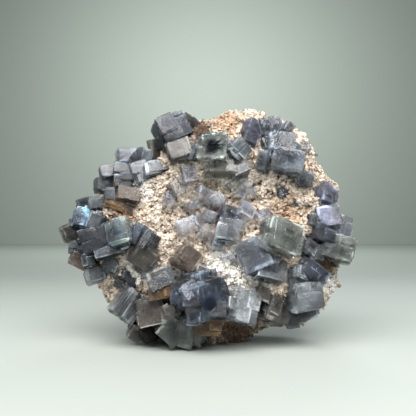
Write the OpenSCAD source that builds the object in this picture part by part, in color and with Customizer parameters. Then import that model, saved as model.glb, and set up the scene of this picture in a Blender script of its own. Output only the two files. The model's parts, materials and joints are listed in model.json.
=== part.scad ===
// Blue fluorite crystal cluster on a plate of crusted host rock.
// Row frame: +X right, +Y to the back, +Z up; the display face looks along -Y.
// The origin is the middle of the small flat spot that the plate stands on.

/* [Plate] */
// Width of the whole specimen
specimen_w = 285; // [240:5:320]
// How far the broken back bulges behind the rim
back_bulge = 38; // [30:1:46]
// How far the crusted front bulges ahead of the rim
front_bulge = 34; // [30:1:38]
// Thickness of the sugary crust over the host rock
crust_t = 9; // [6:1:12]
// Height of the coarse waves on the rock
rock_relief = 2.5; // [1:0.5:4]

/* [Crystals] */
// Size of every crystal against its natural size
crystal_size = 1; // [0.9:0.05:1.1]
// Width of the bevels, as a share of the crystal's shortest edge
bevel_share = 0.06; // [0.03:0.01:0.1]
// Number of sides on the grains of the iron-cemented lump
lump_sides = 9; // [7:1:11]

/* [Hidden] */
scale_k = specimen_w / 285;
sectors = 64;
rings = 8;
plate_mid = [0, 112];
rim_step = 3;
far = 400;

// Broken outline of the plate, as [x, z] on the rim, clockwise from the top.
outline = [
    [3, 222], [21, 229], [38, 232], [53, 232], [61, 224], [77, 221], [88, 215], [98, 208],
    [105, 199], [109, 188], [110, 180], [117, 172], [124, 162], [132, 154], [133, 143],
    [128, 126], [128, 106], [127, 90], [133, 76], [130, 66], [132, 56], [124, 46],
    [118, 35], [110, 26], [95, 17], [76, 14], [58, 13], [46, 5], [32, -3], [12, -8],
    [-12, -8], [-34, -6], [-50, 2], [-66, 10], [-84, 28], [-99, 38], [-104, 48],
    [-111, 58], [-115, 72], [-121, 88], [-124, 103], [-121, 120], [-115, 134],
    [-108, 148], [-98, 160], [-86, 174], [-66, 184], [-48, 198], [-32, 210], [-14, 219]
];

// Swells and hollows of the front, as [x, z, radius, height].
swells = [
    [-40, 190, 32, 8], [8, 186, 28, 10], [72, 182, 32, 9], [28, 150, 38, -9],
    [-30, 135, 34, -4], [-92, 108, 34, 6], [60, 92, 30, 8], [-8, 44, 42, 12],
    [92, 52, 30, 8], [115, 120, 24, 6]
];

// Crystals in the order they grew: the first ones keep their shape, later ones close up to them.
// Each row is [node, centre, edges, turn, tint]; rows that share a node are one group.
CRYSTALS = [
    // crown, at the upper left
    ["crown_cube", [-34, -29, 205], [28, 26, 24], [-8, -28, 18], "slate"],
    ["crown_peak", [-21, -14, 214], [18, 18, 18], [15, 42, 20], "smoky"],
    ["crown_foot_cube", [-27, -37, 184], [22, 18, 17], [-12, -20, 14], "smoky"],
    ["crown_side_block", [-50, -23, 187], [12, 14, 22], [5, -14, 20], "smoky"],
    ["under_crown_slab", [-47, -27, 168], [25, 16, 13], [-25, -12, 10], "clear"],
    // stair of small cubes down the left shoulder
    ["stair_cube_top", [-79, -21, 181], [17, 16, 14], [-10, -8, 20], "slate"],
    ["stair_pale_block", [-65, -27, 164], [16, 16, 21], [-15, -18, 25], "clear"],
    ["stair_cube_outer", [-97, -20, 165], [14, 14, 12], [-15, -12, 25], "slate"],
    ["ledge_brown_block", [-75, -33, 142], [21, 14, 14], [-20, 12, 10], "smoky"],
    ["rust_ledge", [-83, -31, 131], [28, 12, 9], [-10, 20, 5], "amber"],
    // big cubes along the top
    ["center_top_cube", [6, -44, 185], [27, 25, 25], [-6, 2, -8], "green"],
    ["olive_shelf", [11, -39, 166], [28, 16, 11], [-25, -4, 5], "green"],
    ["clear_twin", [29, -37, 186], [16, 16, 16], [20, 38, 30], "clear"],
    ["lavender_blade", [41, -28, 201], [16, 18, 25], [-5, 22, 28], "lavender"],
    ["upper_right_block", [60, -22, 207], [23, 20, 18], [-10, -15, 20], "slate"],
    ["shoulder_cube_upper", [68, -36, 190], [26, 22, 19], [-12, 4, 12], "slate"],
    ["shoulder_cube_lower", [76, -40, 173], [29, 24, 20], [-8, 12, -10], "slate"],
    ["shoulder_small_cube", [93, -33, 157], [14, 13, 12], [-8, -6, -15], "clear"],
    // middle of the plate
    ["center_mauve_lower", [-27, -32, 149], [17, 14, 16], [-15, -25, 25], "smoky"],
    ["center_lavender", [20, -36, 124], [16, 14, 14], [-10, 15, 25], "lavender"],
    ["center_clear_block", [22, -40, 109], [21, 18, 20], [-10, 10, -15], "clear"],
    // left end
    ["left_blue_tip", [-120, -25, 121], [18, 16, 15], [-12, 10, 25], "slate"],
    ["left_edge_cube", [-131, -18, 108], [20, 18, 16], [-5, -28, 30], "smoky"],
    ["left_dark_block", [-104, -35, 101], [24, 20, 19], [-12, -20, 15], "slate"],
    ["green_cube", [-79, -42, 106], [22, 22, 24], [-10, -16, -12], "green"],
    ["left_step_brown", [-124, -22, 80], [17, 16, 13], [-5, 25, 20], "smoky"],
    ["left_mid_upper", [-58, -40, 101], [20, 18, 18], [-20, 25, -30], "slate"],
    ["left_mid_lower", [-60, -38, 86], [20, 20, 20], [15, 35, 20], "smoky"],
    // foot of the plate
    ["blue_giant", [-5, -50, 46], [33, 32, 34], [-8, -14, 12], "slate"],
    ["brown_peak", [-19, -43, 83], [21, 18, 20], [-15, 40, 15], "smoky"],
    ["mauve_slab", [-41, -44, 64], [24, 18, 17], [-20, -22, 10], "smoky"],
    ["rust_block", [-40, -47, 53], [26, 16, 12], [-10, -8, 8], "amber"],
    ["yellow_foot", [1, -47, 24], [24, 20, 15], [-5, 6, -5], "amber"],
    ["foot_left_cube", [-33, -37, 19], [23, 22, 22], [8, 42, 15], "green"],
    ["foot_center_block", [-13, -38, 18], [22, 22, 26], [5, 10, -12], "green"],
    ["lower_brown_cube", [-52, -42, 34], [23, 22, 23], [-10, -8, 15], "smoky"],
    ["lamella_stack", [-75, -34, 40], [24, 20, 27], [-10, 38, 20], "clear"],
    ["clear_corner_cube", [32, -44, 39], [22, 24, 26], [-12, 20, 25], "clear"],
    ["brown_wedge", [-7, -44, 70], [13, 12, 12], [-15, 20, 30], "smoky"],
    // right end
    ["olive_cube", [68, -45, 102], [31, 28, 27], [-15, 22, 20], "green"],
    ["right_slab", [46, -44, 86], [26, 24, 28], [-10, -24, -15], "slate"],
    ["lavender_face_cube", [114, -30, 123], [20, 18, 19], [-4, -6, 8], "lavender"],
    ["lavender_upper_cube", [114, -24, 142], [18, 18, 17], [-10, 20, 25], "lavender"],
    ["right_corner_cube", [124, -29, 92], [28, 24, 23], [-12, 14, -12], "green"],
    ["right_dark_cube", [108, -32, 106], [20, 18, 15], [-10, 15, 20], "slate"],
    ["amber_wedge", [97, -39, 70], [24, 18, 16], [-10, 38, 10], "slate"],
    ["lower_right_block", [90, -41, 49], [27, 26, 25], [-8, -4, 15], "clear"],
    ["right_dark_wedge", [104, -34, 90], [13, 12, 14], [10, 20, 10], "clear"],
    // small crystals that fill the gaps, in groups whose members stand apart
    ["left_small_crystals", [-66, -22, 182], [12, 12, 15], [10, 40, 15], "clear"],
    ["left_small_crystals", [-122, -14, 136], [12, 12, 10], [10, -25, 30], "clear"],
    ["left_small_crystals", [-80, -26, 167], [18, 14, 10], [-12, 10, 10], "slate"],
    ["left_small_crystals", [-91, -31, 141], [12, 12, 14], [-5, -4, 20], "lavender"],
    ["left_small_crystals", [-103, -33, 117], [15, 14, 16], [-10, 20, -20], "lavender"],
    ["left_small_crystals", [-126, -22, 92], [14, 14, 11], [-10, 4, 20], "slate"],
    ["left_small_crystals", [-112, -30, 81], [12, 12, 11], [-8, -12, 10], "clear"],
    ["left_small_crystals", [-91, -32, 76], [13, 12, 12], [-10, 20, 10], "clear"],
    ["left_small_crystals", [-54, -38, 71], [14, 10, 10], [-15, -10, 20], "clear"],
    ["left_small_crystals", [-83, -28, 60], [9, 9, 9], [20, 30, 15], "clear"],
    ["left_small_crystals", [-70, -32, 60], [8, 8, 8], [30, -20, 10], "clear"],
    ["left_ledge_crystals", [-56, -24, 180], [11, 12, 14], [-5, 8, -20], "clear"],
    ["left_ledge_crystals", [-80, -29, 156], [17, 14, 12], [-8, -4, 15], "smoky"],
    ["left_ledge_crystals", [-101, -19, 152], [15, 14, 13], [-10, 5, 30], "slate"],
    ["left_ledge_crystals", [-105, -25, 136], [17, 14, 12], [-10, -8, 20], "slate"],
    ["left_ledge_crystals", [-107, -25, 66], [19, 16, 14], [-15, -18, 15], "clear"],
    ["left_ledge_crystals", [-90, -40, 90], [27, 13, 10], [-15, -14, 10], "clear"],
    ["left_ledge_crystals", [-76, -31, 66], [9, 8, 8], [-15, 15, 30], "clear"],
    ["center_small_crystals", [-36, -33, 137], [10, 10, 13], [-10, 10, 20], "slate"],
    ["center_small_crystals", [9, -34, 137], [12, 10, 12], [-15, -30, 20], "slate"],
    ["center_small_crystals", [-15, -34, 132], [13, 10, 8], [-10, -8, 20], "slate"],
    ["center_small_crystals", [37, -32, 147], [15, 14, 14], [20, 35, 20], "clear"],
    ["center_small_crystals", [53, -36, 122], [14, 11, 11], [-20, -20, 20], "slate"],
    ["center_small_crystals", [-8, -38, 119], [10, 10, 8], [-10, -15, 20], "slate"],
    ["center_small_crystals", [0, -41, 107], [13, 12, 12], [-15, 30, 30], "slate"],
    ["center_pale_crystals", [36, -36, 126], [14, 12, 13], [-20, 30, 20], "slate"],
    ["center_pale_crystals", [2, -37, 123], [11, 10, 11], [15, 20, 20], "slate"],
    ["center_pale_crystals", [9, -38, 94], [13, 10, 9], [-15, 10, 20], "slate"],
    ["center_pale_crystals", [19, -38, 83], [13, 9, 8], [-20, -10, 10], "slate"],
    ["center_pale_crystals", [-4, -32, 141], [16, 14, 15], [-15, 25, 30], "clear"],
    ["center_pale_crystals", [-19, -37, 112], [19, 16, 15], [-20, -20, 20], "smoky"],
    ["center_pale_crystals", [-17, -34, 161], [15, 14, 18], [-20, -10, 20], "lavender"],
    ["top_small_crystals", [-14, -37, 183], [14, 13, 14], [-10, 12, -30], "clear"],
    ["top_small_crystals", [54, -37, 174], [10, 18, 20], [0, 12, -25], "clear"],
    ["top_small_crystals", [30, -36, 164], [17, 13, 10], [-20, -22, 10], "clear"],
    ["top_small_crystals", [79, -28, 209], [9, 9, 9], [15, 30, 20], "clear"],
    ["top_small_crystals", [84, -30, 187], [11, 11, 11], [-10, 35, 15], "clear"],
    ["top_small_crystals", [72, -29, 146], [11, 11, 12], [-15, -20, 20], "clear"],
    ["top_small_crystals", [84, -30, 136], [7, 7, 7], [20, 20, 20], "clear"],
    ["top_small_crystals", [95, -28, 129], [6, 6, 6], [10, 10, 30], "clear"],
    ["right_small_crystals", [131, -20, 113], [13, 14, 22], [5, 12, 20], "clear"],
    ["right_small_crystals", [101, -34, 118], [11, 11, 11], [-10, 20, 10], "clear"],
    ["right_small_crystals", [94, -38, 93], [13, 12, 12], [-15, 35, 20], "clear"],
    ["right_small_crystals", [84, -44, 70], [13, 12, 12], [-10, 20, 30], "clear"],
    ["right_small_crystals", [57, -44, 72], [26, 20, 17], [-18, 12, 10], "clear"],
    ["right_small_crystals", [88, -28, 30], [28, 18, 14], [-12, -14, 10], "clear"],
    ["foot_small_crystals", [-22, -46, 63], [16, 14, 15], [15, 30, 20], "smoky"],
    ["foot_small_crystals", [-32, -50, 37], [12, 12, 11], [-10, -15, 25], "smoky"],
    ["foot_small_crystals", [-68, -26, 13], [13, 12, 13], [20, 30, 20], "smoky"],
    ["foot_small_crystals", [18, -46, 46], [9, 9, 9], [15, 40, 10], "smoky"],
    ["foot_small_crystals", [50, -42, 50], [12, 11, 11], [-10, 20, 15], "smoky"],
    ["foot_small_crystals", [63, -35, 34], [23, 20, 19], [-10, 25, 20], "smoky"]
];
TINTS = [
    ["slate", [0.36, 0.41, 0.49]], ["smoky", [0.45, 0.42, 0.41]], ["clear", [0.63, 0.66, 0.67]],
    ["lavender", [0.54, 0.57, 0.72]], ["green", [0.5, 0.58, 0.55]], ["amber", [0.6, 0.48, 0.3]]
];
CRYSTAL_NODES = [for (i = [0:len(CRYSTALS) - 1]) if (first_row(CRYSTALS[i][0]) == i) CRYSTALS[i][0]];

function first_row(name) = [for (i = [0:len(CRYSTALS) - 1]) if (CRYSTALS[i][0] == name) i][0];
function tint(name) = [for (t = TINTS) if (t[0] == name) t[1]][0];

// Closed Catmull-Rom curve through the outline, at u from 0 to 1.
function corner(i) = outline[i % len(outline)];
function spline(a, b, c, d, t) =
    0.5 * (2 * b + (c - a) * t + (2 * a - 5 * b + 4 * c - d) * t * t + (3 * b - a - 3 * c + d) * pow(t, 3));
function rim_point(u) =
    let (n = len(outline), s = u * n, i = floor(s))
    spline(corner(i + n - 1), corner(i), corner(i + 1), corner(i + 2), s - i);

// Coarse waves of the broken rock.
function waves(p) = rock_relief * (sin(7 * p.x + 3 * p.y) * sin(9 * p.y - 4 * p.x) + 0.5 * sin(17 * p.x - 13 * p.y));
function swell_at(p) =
    let (each_swell = [for (s = swells) s[3] * exp(-pow(norm(p - [s[0], s[1]]) / s[2], 2))])
    each_swell * [for (s = swells) 1];

// The plate thins to its rim along a rounded profile; t is 0 in the middle and 1 on the rim.
function thinning(t) = sqrt(1 - pow(t, 5));
function plan_point(u, t) = plate_mid + (rim_point(u) - plate_mid) * t;
function front_y(p, t) = -thinning(t) * (front_bulge + swell_at(p) + waves(p));
function inner_y(p, t) = front_y(p, t) + rim_step + (crust_t - rim_step) * thinning(t);
function back_y(p, t) = rim_step + thinning(t) * (back_bulge + 2 * waves(p + [40, 25]));

function skin(kind) = [
    for (r = [1:rings], s = [0:sectors - 1])
        let (t = 1 - pow(1 - r / rings, 1.5), p = plan_point(s / sectors, t))
        [p.x, kind == "front" ? front_y(p, t) : kind == "inner" ? inner_y(p, t) : back_y(p, t), p.y]
];
function hub(kind) =
    let (p = plate_mid)
    [[p.x, kind == "front" ? front_y(p, 0) : kind == "inner" ? inner_y(p, 0) : back_y(p, 0), p.y]];

function skin_faces(base, flip) = [
    for (s = [0:sectors - 1])
        let (n = (s + 1) % sectors)
        each concat(
            [turned([base, base + 1 + s, base + 1 + n], flip)],
            [for (r = [0:rings - 2], half = [0, 1])
                let (a = base + 1 + r * sectors, b = a + sectors)
                turned(half == 0 ? [a + s, b + s, b + n] : [a + s, b + n, a + n], flip)])
];
function turned(f, flip) = flip ? [f[2], f[1], f[0]] : f;
function wall_faces(a, b) = [
    for (s = [0:sectors - 1], half = [0, 1])
        let (n = (s + 1) % sectors)
        half == 0 ? [a + s, b + s, b + n] : [a + s, b + n, a + n]
];

// One layer of the plate, between two of its skins.
module layer(near_skin, far_skin) {
    count = 1 + rings * sectors;
    rim = 1 + (rings - 1) * sectors;
    polyhedron(
        points = concat(hub(near_skin), skin(near_skin), hub(far_skin), skin(far_skin)),
        faces = concat(skin_faces(0, false), skin_faces(count, true), wall_faces(rim, count + rim)));
}

// A cube with bevelled edges and corners, as fluorite grows.
module crystal(row) {
    edges = row[2] * crystal_size;
    bevel = bevel_share * min(edges);
    translate(row[1])
        rotate(row[3])
            hull() {
                cube(edges - [0, 2, 2] * bevel, center = true);
                cube(edges - [2, 0, 2] * bevel, center = true);
                cube(edges - [2, 2, 0] * bevel, center = true);
            }
}

function reach(row) = norm(row[2]) * crystal_size / 2;
function meets(a, b) = norm(a[1] - b[1]) < reach(a) + reach(b);

// A crystal as it stands in the cluster, closed up to those that grew before it.
module grown_crystal(i) {
    difference() {
        crystal(CRYSTALS[i]);
        for (j = [0:1:i - 1])
            if (meets(CRYSTALS[i], CRYSTALS[j]))
                crystal(CRYSTALS[j]);
    }
}

module below_ground() {
    translate([-far / 2, -far / 2, -far])
        cube(far);
}

module rock_layer(near_skin, far_skin) {
    difference() {
        layer(near_skin, far_skin);
        for (row = CRYSTALS)
            crystal(row);
        below_ground();
    }
}

module host_rock() {
    color("tan")
        scale(scale_k)
            rock_layer("inner", "back");
}

module quartz_crust() {
    color("bisque")
        scale(scale_k)
            rock_layer("front", "inner");
}

// Dark iron-cemented lump at the lower left corner.
module iron_lump() {
    lump_at = [-54, -24, 11];
    color("saddlebrown")
        scale(scale_k)
            difference() {
                hull()
                    for (k = [0:2])
                        translate(lump_at + [3 * (k - 1), 8 * (k - 1), -2 * (k - 1)])
                            rotate([25 * k, 40 * k, 15])
                                sphere(8.5 - k, $fn = lump_sides);
                layer("front", "back");
                for (row = CRYSTALS)
                    if (norm(row[1] - lump_at) < reach(row) + 20)
                        crystal(row);
            }
}

module crystal_node(name) {
    for (i = [0:len(CRYSTALS) - 1])
        if (CRYSTALS[i][0] == name)
            color(tint(CRYSTALS[i][4]))
                scale(scale_k)
                    grown_crystal(i);
}

host_rock();
quartz_crust();
iron_lump();
for (name = CRYSTAL_NODES)
    crystal_node(name);
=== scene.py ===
# %% [markdown]
# # A fluorite cluster on crusted rock
# The real thing is a broken plate of rock. Its front carries a sugary crust, and about a hundred
# fluorite cubes have grown into it and into each other. Nothing moves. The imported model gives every
# crystal and rock layer its true place, so this lesson only adds what makes stone look like stone:
# pits and grains on the rock, steps and chips on the crystals, a coat of small crystals between the
# large ones, and finishes that vary over each face.

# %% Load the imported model
import json
import math
import random
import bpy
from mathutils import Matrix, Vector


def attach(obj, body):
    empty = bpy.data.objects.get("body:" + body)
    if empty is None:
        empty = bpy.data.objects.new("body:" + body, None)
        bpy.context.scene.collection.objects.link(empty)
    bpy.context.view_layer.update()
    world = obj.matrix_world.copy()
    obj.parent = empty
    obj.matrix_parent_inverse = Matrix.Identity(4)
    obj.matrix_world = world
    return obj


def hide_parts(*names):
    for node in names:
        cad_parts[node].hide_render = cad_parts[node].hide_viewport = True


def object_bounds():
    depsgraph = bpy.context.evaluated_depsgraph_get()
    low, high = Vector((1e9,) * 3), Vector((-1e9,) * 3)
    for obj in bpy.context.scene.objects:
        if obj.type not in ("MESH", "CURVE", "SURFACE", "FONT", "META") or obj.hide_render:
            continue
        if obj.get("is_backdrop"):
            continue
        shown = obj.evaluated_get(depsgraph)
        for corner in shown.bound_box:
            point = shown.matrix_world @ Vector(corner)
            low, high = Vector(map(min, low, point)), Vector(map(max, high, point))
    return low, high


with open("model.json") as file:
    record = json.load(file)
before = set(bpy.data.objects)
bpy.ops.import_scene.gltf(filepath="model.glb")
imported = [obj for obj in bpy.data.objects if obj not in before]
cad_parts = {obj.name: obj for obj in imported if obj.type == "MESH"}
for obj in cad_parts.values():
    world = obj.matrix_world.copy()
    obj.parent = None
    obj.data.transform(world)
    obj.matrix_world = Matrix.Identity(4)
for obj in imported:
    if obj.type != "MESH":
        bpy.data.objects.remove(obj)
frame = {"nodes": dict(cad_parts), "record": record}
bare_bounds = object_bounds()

from types import SimpleNamespace

import bmesh
import bpy
from mathutils import Euler, Matrix, Vector, noise

noise.seed_set(7)
MM = 0.001
nodes = frame["nodes"]
slot_of = {part["node"]: part["material_slot"] for part in frame["record"]["subparts"]}
print("nodes:", len(nodes), "size in mm:", [round((b - a) / MM) for a, b in zip(*bare_bounds)])

# %% [markdown]
# ## Camera
# The display face looks along -Y. A viewer at about arm's length sees it level with its middle, so
# the lens points almost straight ahead and tips up by a few degrees. A fairly wide lens keeps the
# slight enlargement of the crystals that stand forward.

# %% Camera
FILM_WIDTH, LENS = 36, 37.2  # in millimetres
LEVEL, TIP = 90, 3  # in degrees: a new camera looks down, so it is turned level and then up a little
EYE = (0.001, -0.440, 0.109)
DISPLAY_FACE = -36 * MM

camera_data = bpy.data.cameras.new("camera")
camera_data.sensor_width = FILM_WIDTH
camera_data.lens = LENS
camera = bpy.data.objects.new("camera", camera_data)
camera.location = EYE
camera.rotation_euler = (math.radians(LEVEL + TIP), 0, 0)
bpy.context.scene.collection.objects.link(camera)
bpy.context.scene.camera = camera
print("camera to display face in mm:", round((DISPLAY_FACE - camera.location.y) / MM))

# %% [markdown]
# ## Arithmetic with sockets
# A procedural finish is a sum of many small masks. Writing each Math node by hand hides the idea, so
# one small class wraps a socket: an expression such as 1 - mask * 2 then adds its own Math nodes.
# Every other node comes from one method that takes its type, its settings and its inputs.

# %% The socket class
class Wire:
    """An output socket of a shader tree, with arithmetic."""

    def __init__(self, tree, socket=None):
        self.tree = tree
        self.socket = socket

    def node(self, kind, settings=None, inputs=None, output=0):
        made = self.tree.nodes.new("ShaderNode" + kind)
        for name, value in (settings or {}).items():
            setattr(made, name, value)
        for key, value in (inputs or {}).items():
            if isinstance(value, Wire):
                self.tree.links.new(value.socket, made.inputs[key])
            else:
                made.inputs[key].default_value = value
        return Wire(self.tree, made.outputs[output])

    def math(self, operation, *values):
        return self.node("Math", {"operation": operation}, dict(enumerate(values)))

    def __add__(self, other):
        return self.math("ADD", self, other)

    def __sub__(self, other):
        return self.math("SUBTRACT", self, other)

    def __rsub__(self, other):
        return self.math("SUBTRACT", other, self)

    def __mul__(self, other):
        return self.math("MULTIPLY", self, other)

    __radd__ = __add__
    __rmul__ = __mul__

    def size(self):
        return self.math("ABSOLUTE", self)

    def step(self, low, high):
        """0 below low, 1 above high, and smooth in between; low above high turns it round."""
        limits = {"Value": self, "From Min": low, "From Max": high, "To Min": 0.0, "To Max": 1.0}
        return self.node("MapRange", {"interpolation_type": "SMOOTHSTEP"}, limits)

    def mix(self, first, second):
        """A colour between two colours, with this value as the factor."""
        colours = {"Factor": self, 6: first, 7: second}
        return self.node("Mix", {"data_type": "RGBA"}, colours, output=2)


def rgb(red, green, blue):
    """A colour as the eye reads it, 0 to 255, turned into the linear values that shaders use."""
    shares = [channel / 255 for channel in (red, green, blue)]
    linear = [s / 12.92 if s <= 0.04045 else ((s + 0.055) / 1.055) ** 2.4 for s in shares]
    return (*linear, 1.0)


def new_material(name, constants):
    """A material, the wire to start its tree from, and its shader with the constants set."""
    material = bpy.data.materials.new(name)
    material.use_nodes = True
    tree = material.node_tree
    shader = tree.nodes["Principled BSDF"]
    for key, value in constants.items():
        shader.inputs[key].default_value = value
    return material, Wire(tree), shader


def feed(shader, key, wire):
    wire.tree.links.new(wire.socket, shader.inputs[key])


print("a mid grey is", round(rgb(128, 128, 128)[0], 3), "to a shader")

# %% [markdown]
# ## Finish of the rock
# The crust is granular quartz and clay: cream and pinkish beige, with pits that go dark brown, orange
# rust where iron has seeped in, bands of bright white sugar, and dark brown stretches in the gaps between
# the crystals and under them, where stain and painted shade lie together. The pits and the low spots of
# the relief are painted dark too, which is partly the rock's own brown and partly painted shade. Where
# those lie is worked out with the rock's shape and kept in four values on the mesh: pit, sugar, rust, and
# one for stain and painted shade. The nodes only turn the values into colour and break them up with finer
# grain.

# %% Rock finish
ROCK_VALUES = ("pit", "sugar", "rust", "stain_and_painted_shade")


def rock_finish(name, sand, crumb, dark, sugar, rust, grain):
    """A finish of two body colours and three marks: a dark one for pits, stain and painted shade, white sugar
    and rust; grain is the noise scale of its finest crumbs.
    """
    material, start, shader = new_material(name, {"Specular IOR Level": 0.3, "IOR": 1.5})
    place = start.node("TexCoord", output=3)
    value = {key: start.node("Attribute", {"attribute_name": key}, output=2) for key in ROCK_VALUES}
    coarse = start.node("TexNoise", inputs={"Vector": place, "Scale": 70.0, "Detail": 3.0, "Roughness": 0.6})
    fine = start.node("TexNoise", inputs={"Vector": place, "Scale": grain, "Detail": 4.0, "Roughness": 0.7})
    cells = start.node("TexVoronoi", {"feature": "F1"}, {"Vector": place, "Scale": grain * 1.3})
    body = (fine * 0.7 + coarse * 0.5).step(0.48, 0.68).mix(sand, crumb)
    body = ((value["rust"] + fine * 1.2 - 0.75).step(0.2, 0.9) * 0.7).mix(body, rust)
    body = (value["sugar"] + fine * 0.8 - 0.4).step(0.3, 0.8).mix(body, sugar)
    # painted shade: the pits, the low spots of the relief and the spots between and under the crystals go
    # dark brown, partly with real stain
    holes = (value["pit"] + value["stain_and_painted_shade"] * 0.85 + fine * 0.9 - 0.45).step(0.1, 0.9)
    body = holes.mix(body, dark)
    body = (cells.step(0.42, 0.8) * fine.step(0.60, 0.42) * 0.75).mix(body, dark)
    feed(shader, "Base Color", body)
    feed(shader, "Roughness", 0.95 - value["sugar"] * 0.3 - fine * 0.2)
    height = fine * 0.7 + cells * 0.5
    feed(shader, "Normal", start.node("Bump", inputs={"Strength": 0.8, "Distance": 0.0010, "Height": height}))
    return material


crust_finish = rock_finish(
    "crust", rgb(188, 172, 156), rgb(222, 208, 194), rgb(84, 66, 54), rgb(232, 227, 222),
    rgb(158, 122, 88), 420.0
)
back_finish = rock_finish(
    "back_rock", rgb(140, 124, 108), rgb(168, 152, 134), rgb(48, 38, 30), rgb(190, 182, 172),
    rgb(112, 78, 52), 300.0
)
iron_finish = rock_finish(
    "iron_grains", rgb(70, 58, 50), rgb(104, 92, 84), rgb(20, 15, 12), rgb(150, 138, 128),
    rgb(84, 50, 30), 420.0
)
rock_finishes = {"quartz_crust": crust_finish, "host_rock": back_finish, "iron_lump": iron_finish}
print("rock finishes:", ", ".join(finish.name for finish in rock_finishes.values()))

# %% [markdown]
# ## Where a crystal is dark, frosted or veiled
# Fluorite grows in shells, so a cube shows nested squares: a dark core, thin bands, and a pale frosted
# rim, which is partly a painted highlight along the edges. Each crystal carries its own axes as a value
# called grown, which runs from -1 to 1 between its opposite faces. The second largest part of it is how
# far a point is from the middle of its face, and that one number draws the core, the painted highlight
# lines along the edges and the rim. Noise that is stretched along the same axes draws veils and flaws,
# because they lie in the growth layers too. The value called mood holds how dark the core is, how frosted
# the rim is and how milky the whole; the value called tone holds how warm or cold a point is, how light or
# dark, and how deep it lies below the crystal's front. The lightness is partly the crystal's own and partly
# painted light: each crystal is painted lighter on one side, and a painted glint turns the lighter parts
# of blue crystals pale blue.

# %% Masks that all crystal finishes share
CRYSTAL_VALUES = ("grown", "mood", "tone")
PATCHES, SPECKS = 60.0, 300.0  # noise scales: patches about 17 mm wide and specks about 3 mm wide
OWN_PACE = (40, 40, 40)  # turns metres into the crystal's own noise space, one unit for 25 mm
LAYERING = (0.7, 2.6, 1.0)  # squeezes that space, so that veils and flaws become layers
FLAWS = 2.6  # how much finer flaws are than veils


def split(vector):
    """The three numbers of a vector wire."""
    return [vector.node("SeparateXYZ", inputs={0: vector}, output=axis) for axis in range(3)]


def extreme(operation, three):
    """The largest (MAXIMUM) or smallest (MINIMUM) of three wires."""
    return three[0].math(operation, three[0], three[0].math(operation, three[1], three[2]))


def crystal_masks(start):
    """All the masks of a crystal finish, by name."""
    place = start.node("TexCoord", output=3)
    values = [start.node("Attribute", {"attribute_name": key}, output=1) for key in CRYSTAL_VALUES]
    grown, mood, tone = values
    along = [part.size() for part in split(grown)]
    core_share, rim_share, milk_share = split(mood)
    heat, shade, root = split(tone)
    middle = along[0] + along[1] + along[2] - extreme("MAXIMUM", along) - extreme("MINIMUM", along)
    cloud = start.node("TexNoise", inputs={
        "Vector": place, "Scale": PATCHES, "Detail": 2.0, "Roughness": 0.5,
    })
    speck = start.node("TexNoise", inputs={"Vector": place, "Scale": SPECKS, "Detail": 3.0, "Roughness": 0.6})
    own = start.node("VectorMath", {"operation": "MULTIPLY_ADD"}, {0: place, 1: OWN_PACE, 2: grown})
    layered = start.node("Mapping", inputs={"Vector": own, "Scale": LAYERING})
    zones = start.node("TexNoise", inputs={"Vector": layered, "Scale": 1.0, "Detail": 2.0, "Distortion": 0.3})
    flaws = start.node("TexNoise", inputs={
        "Vector": layered, "Scale": FLAWS, "Detail": 3.0, "Distortion": 1.5,
    })
    light, dark = shade.step(0.0, 1.0), shade.step(0.0, -0.9)
    warm, cold = heat.step(0.0, 1.0), heat.step(0.0, -1.0)
    square = middle + (cloud - 0.5)
    # painted highlight: thin pale lines along the crystal's edges, joined into the veils
    edge = middle.step(0.88, 0.97) * cloud.step(0.36, 0.60) * 0.55
    veil_and_edge_highlight = start.math("MAXIMUM", zones.step(0.60, 0.80) * cloud.step(0.4, 0.6) * (light * 0.4 + 0.3), edge)
    veil_and_edge_highlight = start.math("MAXIMUM", veil_and_edge_highlight, flaws.step(0.56, 0.76) * (light * 0.3 + 0.42))
    veil_and_edge_highlight = start.math("MAXIMUM", veil_and_edge_highlight, light.step(0.55, 1.0) * speck.step(0.36, 0.62) * 0.4)
    return SimpleNamespace(
        cloud=cloud, speck=speck, zones=zones, flaws=flaws, light=light, dark=dark, warm=warm, cold=cold,
        root=root, milk_share=milk_share,
        core=square.step(0.85, 0.20) * core_share,
        # partly a frosted rim and partly a painted highlight near the edges
        rim=square.step(0.72, 1.05) * speck.step(0.38, 0.6) * rim_share,
        veil_and_edge_highlight=veil_and_edge_highlight * (1 - dark * 0.6),
        # painted highlight: a pale blue glint where a blue crystal is lighter
        painted_glint=(cold * light).step(0.35, 0.8),
    )


print("a crystal finish reads", ", ".join(CRYSTAL_VALUES))

# %% [markdown]
# ## Finish of the crystals
# Where a crystal is sound it is glass; where it is clouded, cracked or frosted it is milky. So each
# finish mixes two shaders by one mask. The milky one is partly clear as well, because even a clouded
# crystal lets the rock behind it show. Six colour sets cover all crystals, from slate blue to amber.

# %% Crystal finish
WARM = rgb(140, 114, 92)  # iron stain
COLD = rgb(74, 112, 150)  # the bluest crystals
# painted highlight: the pale blue of a glint, painted where a blue crystal catches the light
PAINTED_GLINT = rgb(168, 220, 248)  # where a blue crystal catches the light
BENDING = 1.434  # index of refraction of fluorite
SHEEN = 0.3  # less gloss than plain glass has, so that lamps mirror only faintly


def tint_of_glass(colour, least):
    """The same colour, lightened for the light that goes through."""
    return (*[least + (1 - least) * channel for channel in colour[:3]], 1.0)


def darker(colour, share):
    return (*[share * channel for channel in colour[:3]], 1.0)


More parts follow.
